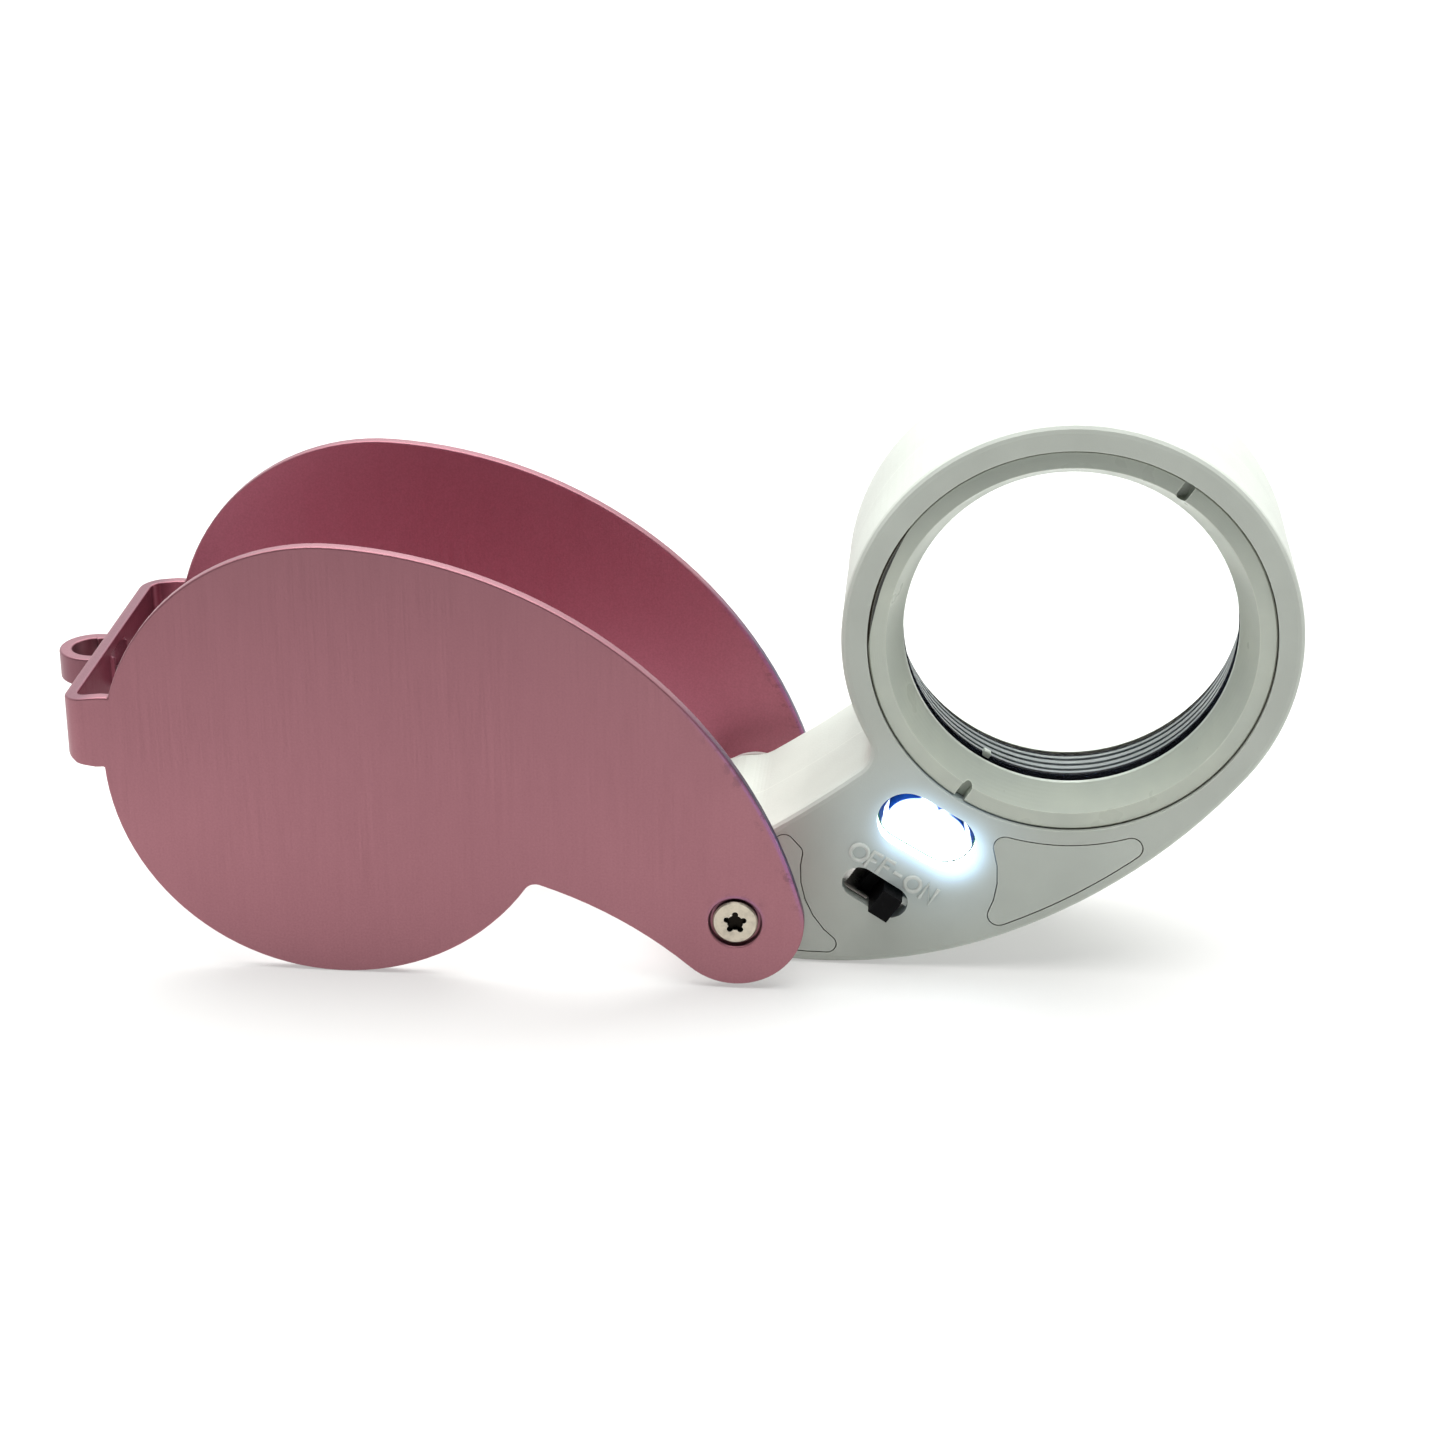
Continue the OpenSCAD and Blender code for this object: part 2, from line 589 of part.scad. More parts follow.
module battery_door() color([0.72, 0.74, 0.7]) arm_frame() difference() {
    union() {
        slab(face - door_t + 0.02, face) belt(cell_at, door_r - fit, door_screw_at, door_ear_r - fit);
        disc(cell_at, tube_in - 0.1, cells_end + strip_t + 0.02, face);
    }
    disc(door_screw_at, housing_screw_r + 0.1, 0, face + 1);
    disc(door_screw_at, housing_head_r + 0.05, face - 0.35, face + 1);
    // Grip grooves
    for (i = [-2:2]) slab(face - 0.3, face + 1) at(cell_at, bearing(cell_at, door_screw_at))
        translate([i * 1.1 - 1, 0]) bar_upright(5);
}
module bar_upright(l) rotate(90) bar(l, 0.45, $fn = 24);
module door_screw() color([0.7, 0.68, 0.62]) arm_frame() difference() {
    union() {
        disc(door_screw_at, housing_head_r, face - 0.35, face - 0.02);
        disc(door_screw_at, housing_screw_r, 3, face - 0.3);
    }
    slab(face - 0.2, face + 1) at(door_screw_at) for (a = [0, 90]) rotate(a)
        square([1.6, 0.4], center = true);
}

case_shell();
pivot_sleeve();
pivot_screws();
front_friction_washer();
rear_friction_washer();
front_pivot_spacer();
rear_pivot_spacer();
front_housing();
rear_housing();
front_retaining_ring();
rear_retaining_ring();
front_lens();
rear_lens();
front_lens_seat();
rear_lens_seat();
lens_spacer();
pivot_side_inlay();
ring_side_inlay();
housing_screws();
lamp_reflector();
upper_lamp();
lower_lamp();
circuit_board();
resistor();
switch_frame();
switch_slider();
button_cell_1();
button_cell_2();
button_cell_3();
positive_contact();
negative_contact();
battery_door();
door_screw();
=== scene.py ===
"""Looks of the folding viewing loupe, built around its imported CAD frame.

Lengths are in metres with +Z up, as in the frame. A number beside MM is in millimetres.
"""

import itertools
import json
import math

import bmesh
import bpy
from mathutils import Matrix, Vector


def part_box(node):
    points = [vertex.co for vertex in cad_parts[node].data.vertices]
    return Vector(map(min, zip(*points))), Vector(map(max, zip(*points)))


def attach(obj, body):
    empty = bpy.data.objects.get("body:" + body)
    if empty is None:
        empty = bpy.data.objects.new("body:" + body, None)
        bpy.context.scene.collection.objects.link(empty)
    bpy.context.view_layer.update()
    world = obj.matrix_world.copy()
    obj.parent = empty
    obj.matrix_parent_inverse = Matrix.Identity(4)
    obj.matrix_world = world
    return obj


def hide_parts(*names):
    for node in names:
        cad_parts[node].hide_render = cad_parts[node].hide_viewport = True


MM = 0.001

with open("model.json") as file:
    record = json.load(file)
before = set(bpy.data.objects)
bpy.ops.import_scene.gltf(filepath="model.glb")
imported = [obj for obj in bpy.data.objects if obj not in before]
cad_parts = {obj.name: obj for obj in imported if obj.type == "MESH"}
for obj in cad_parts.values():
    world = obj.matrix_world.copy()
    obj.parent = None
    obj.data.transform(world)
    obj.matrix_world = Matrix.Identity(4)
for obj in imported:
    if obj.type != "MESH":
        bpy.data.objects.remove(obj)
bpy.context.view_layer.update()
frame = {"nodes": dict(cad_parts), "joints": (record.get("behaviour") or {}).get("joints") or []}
nodes = frame["nodes"]


# ---- places, worked out from the frame ----

hinge = next(j for j in frame["joints"] if j["name"] == "case_hinge")
PIVOT = Vector(hinge["pos_m"])


def middle(node):
    """The centre of a CAD node's box"""
    low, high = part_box(node)
    return (low + high) / 2


RING = middle("front_lens")
ALONG = Vector((RING.x - PIVOT.x, 0, RING.z - PIVOT.z)).normalized()   # from pivot to ring
ACROSS = Vector((-ALONG.z, 0, ALONG.x))
FACE_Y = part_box("front_housing")[0].y          # front face of the arm
PLATE_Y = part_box("case_shell")[0].y            # outer face of the front case plate
SKIN_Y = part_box("pivot_sleeve")[1].y           # inner face of the rear case plate
STRAP_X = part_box("case_shell")[0].x + 5 * MM   # the strap and its eyelet lie left of this
SOCKET_Y = -PLATE_Y - 0.15 * MM                # depth at which the pivot screws' sockets are dark
LAMPS = [middle("upper_lamp"), middle("lower_lamp")]
LAMP_MIDDLE = (LAMPS[0] + LAMPS[1]) / 2


def on_arm(u, v, out=0.0):
    """The point u and v millimetres along and across the arm, out millimetres off its front face"""
    return Vector((PIVOT.x, FACE_Y - out * MM, PIVOT.z)) + (ALONG * u + ACROSS * v) * MM


# ---- material building blocks ----


def full(colour):
    """A colour as a socket takes it: a link as it is, a constant with its alpha"""
    return colour if isinstance(colour, bpy.types.NodeSocket) else (*colour, 1)


def darker(tone, share):
    """A tone with each channel cut to a share"""
    return tuple(channel * share for channel in tone)


class Look:
    """A material and the node links that feed its Principled shader"""

    def __init__(self, name, roughness=0.5, metallic=0.0, **fixed):
        """The fixed values are for sockets of the shader, named with _ for each space"""
        self.material = bpy.data.materials.new(name)
        self.material.use_nodes = True
        self.tree = self.material.node_tree
        self.shader = self.tree.nodes["Principled BSDF"]
        self.shader.inputs["Roughness"].default_value = roughness
        self.shader.inputs["Metallic"].default_value = metallic
        for socket, value in fixed.items():
            self.shader.inputs[socket.replace("_", " ")].default_value = value
        self.place = self.add("ShaderNodeTexCoord").outputs["Object"]

    def add(self, kind, **settings):
        """Adds a node to the material"""
        node = self.tree.nodes.new(kind)
        for key, value in settings.items():
            setattr(node, key, value)
        return node

    def feed(self, socket, value):
        """Links an output to a socket, or sets the socket to a constant"""
        if isinstance(value, bpy.types.NodeSocket):
            self.tree.links.new(value, socket)
        else:
            socket.default_value = value

    def math(self, operation, a, b=0.0):
        """Works on one or two numbers"""
        node = self.add("ShaderNodeMath", operation=operation)
        self.feed(node.inputs[0], a)
        self.feed(node.inputs[1], b)
        return node.outputs[0]

    def product(self, first, *others):
        """Multiplies two or more numbers"""
        for other in others:
            first = self.math("MULTIPLY", first, other)
        return first

    def vector(self, operation, a, b=(0, 0, 0)):
        """Works on one or two vectors"""
        node = self.add("ShaderNodeVectorMath", operation=operation)
        self.feed(node.inputs[0], a)
        self.feed(node.inputs[1], b)
        return node.outputs["Value" if operation in ("LENGTH", "DOT_PRODUCT") else "Vector"]

    def scale(self, a, factor):
        """Makes a vector longer by a factor"""
        node = self.add("ShaderNodeVectorMath", operation="SCALE")
        self.feed(node.inputs[0], a)
        self.feed(node.inputs["Scale"], factor)
        return node.outputs["Vector"]

    def flat_offset(self, a, b):
        """The way from b to a as seen from the front, with no depth"""
        return self.vector("MULTIPLY", self.vector("SUBTRACT", a, b), (1, 0, 1))

    def parts(self, a):
        """The three coordinates of a vector"""
        node = self.add("ShaderNodeSeparateXYZ")
        self.feed(node.inputs[0], a)
        return node.outputs

    def noise(self, size, detail=2.0, stretch=(1, 1, 1), rough=0.5):
        """Noise with features about size millimetres across, longer along the stretched axes"""
        node = self.add("ShaderNodeTexNoise")
        node.inputs["Scale"].default_value = 1.0
        node.inputs["Detail"].default_value = detail
        node.inputs["Roughness"].default_value = rough
        per_metre = tuple(1 / (size * MM * s) for s in stretch)
        self.feed(node.inputs["Vector"], self.vector("MULTIPLY", self.place, per_metre))
        return node.outputs["Fac"]

    def spread(self, value, low, high, to_low=0.0, to_high=1.0):
        """Maps low..high to to_low..to_high, clamped"""
        node = self.add("ShaderNodeMapRange")
        for socket, v in zip(node.inputs, (value, low, high, to_low, to_high)):
            self.feed(socket, v)
        return node.outputs[0]

    def vary(self, texture, low=0.0, high=1.0):
        """Swings between two values as a noise texture does"""
        return self.spread(texture, 0.3, 0.7, low, high)

    def mix(self, share, a, b):
        """Colour a where share is 0, colour b where it is 1"""
        node = self.add("ShaderNodeMix", data_type="RGBA")
        self.feed(node.inputs["Factor"], share)
        for name, colour in (("A", a), ("B", b)):
            socket = next(s for s in node.inputs if s.name == name and s.type == "RGBA")
            self.feed(socket, full(colour))
        return next(s for s in node.outputs if s.type == "RGBA")

    def clouded(self, tone, size, share, low=0.35, detail=3):
        """A tone with clouds about size millimetres across, cut to a share of its brightness"""
        clouds = self.noise(size, detail=detail)
        return self.mix(self.spread(clouds, low, 0.7), tone, darker(tone, share))

    def edges(self, radius, reach=0.12):
        """1 along sharp edges, 0 on open surfaces"""
        flat_enough = 0.999
        bevel = self.add("ShaderNodeBevel", samples=6)
        bevel.inputs["Radius"].default_value = radius * MM
        unbent = self.add("ShaderNodeNewGeometry").outputs["Normal"]
        same = self.vector("DOT_PRODUCT", bevel.outputs[0], unbent)
        return self.spread(same, 1 - reach, flat_enough, 1.0, 0.0)

    def edge_wear_and_highlight(self, base, radius, share, colour):
        """The base colour with a share of another along sharp edges: edge wear and a painted highlight
        """
        return self.mix(self.product(self.edges(radius), share), base, colour)

    def crevices(self, distance):
        """1 deep in gaps and corners, 0 in the open"""
        shade = self.add("ShaderNodeAmbientOcclusion", samples=8)
        shade.inputs["Distance"].default_value = distance * MM
        return self.math("SUBTRACT", 1.0, shade.outputs["AO"])

    def bump(self, layers):
        """Stacks (height, depth in millimetres) layers into the shader's normal"""
        normal = None
        for height, depth in layers:
            node = self.add("ShaderNodeBump")
            node.inputs["Distance"].default_value = depth * MM
            self.feed(node.inputs["Height"], height)
            if normal is not None:
                self.feed(node.inputs["Normal"], normal)
            normal = node.outputs[0]
        self.feed(self.shader.inputs["Normal"], normal)

    def paint(self, colour, roughness=None):
        """Sets the base colour and, where it varies, the roughness"""
        self.feed(self.shader.inputs["Base Color"], full(colour))
        if roughness is not None:
            self.feed(self.shader.inputs["Roughness"], roughness)

    def shine(self, colour, strength):
        """Makes the surface give light"""
        self.feed(self.shader.inputs["Emission Color"], full(colour))
        self.feed(self.shader.inputs["Emission Strength"], strength)


# ---- the object's materials; colours are linear ----

CASE_TONES = {
    "bottom": (0.410, 0.174, 0.205),
    "top": (0.232, 0.098, 0.118),
    "mottle": (0.22, 0.085, 0.105),
    "inner": (0.49, 0.155, 0.22),
    "strap_inside_shade": (0.17, 0.035, 0.06),
    "grain": (0.23, 0.09, 0.11),
    "cut": (0.27, 0.12, 0.145),
    "edge_wear_and_highlight": (0.33, 0.15, 0.18),
    "strap_cut": (0.15, 0.065, 0.085),
    "eyelet": (0.22, 0.10, 0.12),
    "violet": (0.30, 0.14, 0.42),
    "violet_cut_shade": (0.035, 0.012, 0.06),
    "smudge": (0.11, 0.055, 0.075),
}


def anodised_sheet():
    """Satin pink case metal with painted light: paler towards the table, deeper inside from a painted
    reflection, pale cut edges partly painted light, and a violet edge beside the arm partly a painted
    reflection
    """
    look = Look("anodised_sheet", metallic=0.7, IOR=1.5)
    tones = CASE_TONES
    x, y, z = look.parts(look.place)
    facing = look.parts(look.add("ShaderNodeTexCoord").outputs["Normal"])
    sideways = look.math("ABSOLUTE", facing[1])
    upright = look.spread(look.math("ABSOLUTE", facing[2]), 0.5, 0.9)
    strap = look.spread(x, STRAP_X, STRAP_X + 1.5 * MM, 1, 0)

    # Painted light bounced off the table: the plates are paler towards the table
    base = look.mix(look.spread(z, 2 * MM, 42 * MM), tones["bottom"], tones["top"])
    base = look.mix(look.spread(look.noise(9, detail=3), 0.35, 0.65, 0.0, 0.10), base, tones["mottle"])

    # Painted reflection: the inner faces, which look at each other, are deeper in colour, as light
    # bounced between them would make them; painted shade darkens the strap's inside
    between = look.spread(look.math("ABSOLUTE", y), SKIN_Y - 0.02 * MM, SKIN_Y + 0.1 * MM, 1, 0)
    inner = look.math("MAXIMUM", look.product(between, sideways),
                      look.product(look.spread(facing[0], 0.5, 0.9), strap))
    base = look.mix(inner, base, tones["inner"])
    base = look.mix(look.product(inner, strap), base, tones["strap_inside_shade"])
    grain = look.noise(0.16)
    base = look.mix(look.spread(grain, 0.3, 0.75, 0.0, 0.3), base, tones["grain"])

    # The plates' cut edges are pale, partly bare metal and partly painted light from above, and the
    # strap's are duller
    cut = look.product(look.spread(sideways, 0.25, 0.7, 1.0, 0.0), look.math("SUBTRACT", 1.0, strap))
    cut = look.math("ADD", cut, look.product(upright, strap))
    base = look.mix(look.product(cut, 0.8), base, tones["cut"])
    # Pale sharp edges: edge wear with a painted highlight
    base = look.edge_wear_and_highlight(base, 0.12, 0.5, tones["edge_wear_and_highlight"])
    base = look.mix(look.product(upright, strap, 0.85), base, tones["strap_cut"])
    eyelet = look.spread(x, STRAP_X - 1.3 * MM, STRAP_X - 1.1 * MM, 0.7, 0.0)
    base = look.mix(eyelet, base, tones["eyelet"])

    # Beside the arm the edge is violet, wear with a painted reflection on it; painted shade darkens the
    # cut face there, and smudges spread inwards
    beside = look.product(look.spread(x, PIVOT.x - 5 * MM, PIVOT.x + 1 * MM),
                          look.spread(z, 5 * MM, 9 * MM))
    base = look.mix(look.product(look.edges(0.55, 0.05), beside, 0.7), base, tones["violet"])
    base = look.mix(look.product(cut, beside), base, tones["violet_cut_shade"])
    blotches = look.spread(look.noise(0.9, detail=5, rough=0.7), 0.53, 0.60)
    smudge = look.product(look.edges(1.6, 0.03), blotches, beside, 0.6)
    base = look.mix(smudge, base, tones["smudge"])

    brushed = look.noise(0.11, stretch=(1, 1, 60))
    look.paint(base, look.vary(brushed, 0.36, 0.46))
    look.bump([(brushed, 0.004), (grain, 0.006)])
    return look.material


GLOW_TONE = (0.50, 0.76, 1.0)
WINDOW_MIDDLE = LAMP_MIDDLE + (ALONG * -0.10 + ACROSS * -0.80) * MM


def window_glow(look):
    """Painted glow around the lamp window, standing for light that soaks into the plastic and for
    bloom, fading over a few millimetres
    """
    line = LAMPS[1] - LAMPS[0]
    heading = tuple(line.normalized())
    half = line.length / 2
    offset = look.vector("SUBTRACT", look.place, tuple(WINDOW_MIDDLE))
    step = look.math("MAXIMUM", look.vector("DOT_PRODUCT", offset, heading), -half)
    step = look.math("MINIMUM", step, half)
    distance = look.vector("LENGTH", look.flat_offset(offset, look.scale(heading, step)))
    near = look.math("POWER", look.spread(distance, 1.9 * MM, 4.6 * MM, 1.0, 0.0), 3.2)
    wide = look.math("POWER", look.spread(distance, 2.0 * MM, 9.0 * MM, 1.0, 0.0), 2.0)
    glow = look.math("ADD", look.product(near, 1.1), look.product(wide, 0.16))
    depth = look.parts(look.place)[1]
    front = look.spread(depth, FACE_Y + 0.3 * MM, FACE_Y + 1.5 * MM, 1.0, 0.0)
    look.shine(GLOW_TONE, look.product(glow, front))


SHELL_EDGE_HIGHLIGHT = (0.72, 0.76, 0.68)
SHELL_GRIME_AND_SHADE = (0.11, 0.09, 0.065)


def moulded_plastic(name, tone, lit=False):
    """Pale grey moulded plastic with a fine spark-eroded grain, dirt and painted shade in its gaps, and
    painted highlights on its edges
    """
    look = Look(name, IOR=1.46)
    # Painted highlight along the sharp edges
    base = look.edge_wear_and_highlight(look.clouded(tone, 7, 0.9), 0.18, 0.35, SHELL_EDGE_HIGHLIGHT)
    # Dirt and painted shade in gaps and corners, and where the arm meets the table
    base = look.mix(look.spread(look.crevices(0.7), 0.45, 0.95, 0, 0.75), base, SHELL_GRIME_AND_SHADE)
    grain = look.noise(0.13)
    look.paint(base, look.vary(grain, 0.42, 0.56))
    look.bump([(grain, 0.010), (look.noise(0.42, detail=4, rough=0.6), 0.008)])
    if lit:
        window_glow(look)
    return look.material


RING_TONES = {
    "pale": (0.54, 0.58, 0.50),
    "cloud": (0.48, 0.52, 0.46),
    "speck": (0.12, 0.08, 0.05),
    "upper_rim_shade": (0.21, 0.24, 0.21),
    "gap": (0.015, 0.015, 0.012),
    "edge_wear_and_highlight": (0.78, 0.81, 0.70),
    "grime_and_shade": (0.10, 0.07, 0.045),
}
TURNING_PITCH = 0.17 * MM
RIM_FROM, RIM_TO = 13.75 * MM, 13.95 * MM      # the flat rim begins between these radii
RING_EDGE = 15.22 * MM
GAP_SIDE = (-0.956, 0, 0.292)                  # where the ring stands off its bore
GAP_WIDTH = 0.35 * MM


def turned_plastic():
    """The retaining rings: smoother, with fine turning lines, spanner notches darkened by dirt and
    painted shade, painted shade on the upper rim and painted highlights on the edges
    """
    look = Look("turned_plastic", IOR=1.46)
    tones = RING_TONES
    clouds = look.noise(5, detail=3)
    base = look.mix(look.spread(clouds, 0.35, 0.7), tones["pale"], tones["cloud"])
    specks = look.spread(look.noise(0.5, detail=5, rough=0.7), 0.70, 0.76)
    base = look.mix(look.product(specks, 0.6), base, tones["speck"])

    # Painted shade: the flat rim is darker towards the top, where the bore's lip shades it, and a
    # painted shadow darkens its edge where it stands off the bore
    offset = look.flat_offset(look.place, tuple(RING))
    radius = look.vector("LENGTH", offset)
    height = look.parts(look.place)[2]
    upper = look.spread(height, RING.z + 3 * MM, RING.z + 13 * MM, 0, 0.65)
    base = look.mix(look.product(upper, look.spread(radius, RIM_FROM, RIM_TO)), base, tones["upper_rim_shade"])
    aside = look.vector("DOT_PRODUCT", look.vector("NORMALIZE", offset), GAP_SIDE)
    reach = look.math("ADD", radius, look.spread(aside, 0.94, 0.995, 0.0, GAP_WIDTH))
    base = look.mix(look.math("GREATER_THAN", reach, RING_EDGE), base, tones["gap"])

    # Painted highlight along the sharp edges
    base = look.edge_wear_and_highlight(base, 0.15, 0.4, tones["edge_wear_and_highlight"])
    # Dirt and painted shade in the notches, gaps and corners
    base = look.mix(look.spread(look.crevices(0.5), 0.5, 0.95, 0, 0.8), base, tones["grime_and_shade"])
    look.paint(base, look.vary(clouds, 0.26, 0.38))
    lines = look.math("SINE", look.product(radius, 2 * math.pi / TURNING_PITCH))
    look.bump([(lines, 0.0012), (look.noise(0.2), 0.004)])
    return look.material


def ribbed_tube():
    """The grey tube between the lenses, with painted shade in its grooves"""
    look = Look("ribbed_tube", roughness=0.35)
    rib, groove_shade = (0.15, 0.175, 0.17), (0.002, 0.005, 0.005)
    # Painted shade in the grooves
    look.paint(look.mix(look.spread(look.crevices(0.6), 0.2, 0.45), rib, groove_shade))
    look.bump([(look.noise(0.3, detail=3), 0.004)])
    return look.material


def black_plastic(name, roughness):
    """Black plastic with a little dust, and pale edges of wear with a painted highlight"""
    look = Look(name, IOR=1.5, Specular_IOR_Level=0.06)
    black, dusty, edge_wear_and_highlight = (0.003, 0.003, 0.0035), (0.03, 0.03, 0.03), (0.08, 0.08, 0.085)
    dust = look.spread(look.noise(0.35, detail=5, rough=0.7), 0.60, 0.74, 0, 0.25)
    # Pale sharp edges: wear with a painted highlight
    base = look.edge_wear_and_highlight(look.mix(dust, black, dusty), 0.12, 0.1, edge_wear_and_highlight)
    look.paint(base, look.vary(look.noise(0.2), roughness, roughness + 0.18))
    look.bump([(look.noise(0.12), 0.004)])
    return look.material


def clear_lens():
    """Coated optical glass with a few dust specks, which lets light through as a pane does"""
    look = Look("clear_lens", IOR=1.5, Transmission_Weight=1.0, Specular_Tint=(0.08, 0.10, 0.16, 1))
    dust = look.spread(look.noise(0.9, detail=6, rough=0.75), 0.74, 0.79, 0.0, 0.22)
    look.paint((0.985, 1.0, 0.995), dust)
    shadow = look.add("ShaderNodeLightPath").outputs["Is Shadow Ray"]
    through = look.add("ShaderNodeBsdfTransparent")
    through.inputs["Color"].default_value = (0.94, 0.97, 0.96, 1)
    blend = look.add("ShaderNodeMixShader")
    for socket, value in zip(blend.inputs, (shadow, look.shader.outputs[0], through.outputs[0])):
        look.feed(socket, value)
    look.feed(look.tree.nodes["Material Output"].inputs["Surface"], blend.outputs[0])
    return look.material


SPOTS_CLOSER = 0.85     # the bright spots lie closer together than the lamps' centres
SPOT_FADE = 0.25


def blaze(look, lower, radius):
    """1 near the lamps, measured from spots lower millimetres below them, and 0 past radius"""
    nearest = None
    for lamp in LAMPS:
        spot = LAMP_MIDDLE - Vector((0, 0, lower * MM)) + (lamp - LAMP_MIDDLE) * SPOTS_CLOSER
        distance = look.vector("LENGTH", look.flat_offset(look.place, tuple(spot)))
        nearest = distance if nearest is None else look.math("MINIMUM", nearest, distance)
    return look.spread(nearest, radius * MM, (radius + SPOT_FADE) * MM, 1.0, 0.0)


def lit_lamp():
    """Lamp resin, white-hot except for painted blue shade on its upper rim"""
    look = Look("lit_lamp", roughness=0.12, IOR=1.5, Coat_Weight=0.2)
    hot = blaze(look, lower=0.3, radius=1.5)
    # Painted blue shade on the upper rim, away from the bright spots
    look.paint(look.mix(hot, (0.01, 0.05, 0.3), (0.75, 0.85, 1.0)))
    ripple = look.vary(look.noise(0.8), 0.9, 1.1)
    strength = look.spread(hot, 0.0, 1.0, 0.4, 24.0)
    look.shine(look.mix(hot, (0.008, 0.06, 0.28), (0.85, 0.94, 1.0)), look.product(strength, ripple))
    return look.material


def lamp_tray():
    """The tray behind the lamps, with a painted glow around them and painted blue shade above"""
    look = Look("lamp_tray", roughness=0.4, Specular_IOR_Level=0.2)
    hot = blaze(look, lower=0.95, radius=2.05)
    # Painted glow near the lamps and painted blue shade above them
    look.paint(look.mix(hot, (0.003, 0.015, 0.08), (0.8, 0.9, 1.0)))
    strength = look.spread(hot, 0.0, 1.0, 0.3, 3.0)
    look.shine(look.mix(hot, (0.006, 0.05, 0.22), (0.85, 0.95, 1.0)), strength)
    look.bump([(look.noise(0.4), 0.01)])
    return look.material


def screw_nickel():
    """Plated screw metal with fine scratches and stains, pale edges of wear with a painted highlight,
    and a socket darkened below a set depth
    """
    look = Look("screw_nickel", metallic=1.0)
    tone, edge_wear_and_highlight, socket = (0.60, 0.54, 0.44), (0.92, 0.88, 0.78), (0.012, 0.010, 0.008)
    stain = look.noise(0.7, detail=5, rough=0.65)
    base = look.mix(look.spread(stain, 0.45, 0.7, 0, 0.6), tone, darker(tone, 0.55))
    # Pale sharp edges: wear with a painted highlight
    base = look.edge_wear_and_highlight(base, 0.08, 0.5, edge_wear_and_highlight)
    depth = look.math("ABSOLUTE", look.parts(look.place)[1])
    base = look.mix(look.spread(depth, SOCKET_Y - 0.12 * MM, SOCKET_Y, 1.0, 0.0), base, socket)
    scratches = look.noise(0.06, detail=3, stretch=(14, 14, 1))
    look.paint(base, look.vary(scratches, 0.3, 0.5))
    look.bump([(scratches, 0.004), (stain, 0.010)])
    return look.material


def stamped_metal(name, tone):
    """Sheet metal with faint stains and rolling marks"""
    look = Look(name, metallic=1.0)
    base = look.clouded(tone, 1.2, 0.75, low=0.4, detail=4)
    look.paint(base, look.vary(look.noise(0.2, stretch=(12, 1, 1)), 0.25, 0.4))
    look.bump([(look.noise(0.25, detail=3), 0.005)])
    return look.material


def plain_plastic(name, tone):
    """Smooth unpainted plastic, faintly cloudy"""
    look = Look(name)
    look.paint(look.clouded(tone, 1.5, 0.88), look.vary(look.noise(0.3), 0.4, 0.55))
    look.bump([(look.noise(0.2), 0.006)])
    return look.material


def green_board():
    """Circuit board with raised tracks"""
    look = Look("green_board", roughness=0.35)
    tracks = look.spread(look.noise(1.1, detail=1, stretch=(4, 1, 1)), 0.52, 0.54)
    look.paint(look.mix(tracks, (0.012, 0.10, 0.035), (0.03, 0.22, 0.08)))
    look.bump([(tracks, 0.02)])
    return look.material


def floor_white():
    """A pale seamless table top that gives a little light, so that shadows stay faint"""
    look = Look("floor_white", roughness=0.85, Specular_IOR_Level=0.1)
    look.paint(look.mix(look.vary(look.noise(60)), (0.43, 0.43, 0.42), (0.45, 0.45, 0.44)))
    look.shine((1, 1, 0.99), 0.40)
    return look.material


# ---- pieces ----

SMOOTH_BELOW = 35       # degrees between faces


def mesh_of(name, form):
    """Turns a bmesh into a mesh"""
    mesh = bpy.data.meshes.new(name)
    form.to_mesh(mesh)
    form.free()
    return mesh


def placed(name, data):
    """A new object in the scene"""
    thing = bpy.data.objects.new(name, data)
    bpy.context.scene.collection.objects.link(thing)
    return thing


def riding(name, mesh, body):
    """A new piece that rides on a body, crisp at its sharp edges and smooth elsewhere"""
    piece = placed(name, mesh)
    for polygon in mesh.polygons:
        polygon.use_smooth = True
    mesh.set_sharp_from_angle(angle=math.radians(SMOOTH_BELOW))
    piece.modifiers.new("even_normals", "WEIGHTED_NORMAL").keep_sharp = True
    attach(piece, body)
    return piece


def softened(node, body, width):
    """A copy of a CAD node, its sharp edges rounded over width millimetres, in the node's place"""
    weld, flat_below, sharp_above = 0.002 * MM, math.radians(0.4), math.radians(40)
    form = bmesh.new()
    form.from_mesh(nodes[node].data)
    bmesh.ops.remove_doubles(form, verts=form.verts, dist=weld)
    bmesh.ops.dissolve_limit(form, angle_limit=flat_below, verts=form.verts, edges=form.edges)
    sharp = [e for e in form.edges if e.is_manifold and e.calc_face_angle() > sharp_above]
    bmesh.ops.bevel(form, geom=sharp, offset=width * MM, segments=3, affect="EDGES", profile=0.5)
    piece = riding(node + "_finished", mesh_of(node + "_finished", form), body)
    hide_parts(node)
    return piece


# Box corners count up in binary: 0 to 7 from the lows and highs of three ranges
BOX_FACES = ((0, 1, 3, 2), (4, 5, 7, 6), (0, 1, 5, 4), (2, 3, 7, 6), (0, 2, 6, 4), (1, 3, 7, 5))


def rounded_block(name, corners, body, edge):
    """A block between eight corners, with its edges rounded over edge millimetres"""
    form = bmesh.new()
    verts = [form.verts.new(corner) for corner in corners]
    for face in BOX_FACES:
        form.faces.new([verts[i] for i in face])
    bmesh.ops.recalc_face_normals(form, faces=form.faces)
    bmesh.ops.bevel(form, geom=form.edges[:], offset=edge * MM, segments=2, affect="EDGES", profile=0.5)
    return riding(name, mesh_of(name, form), body)


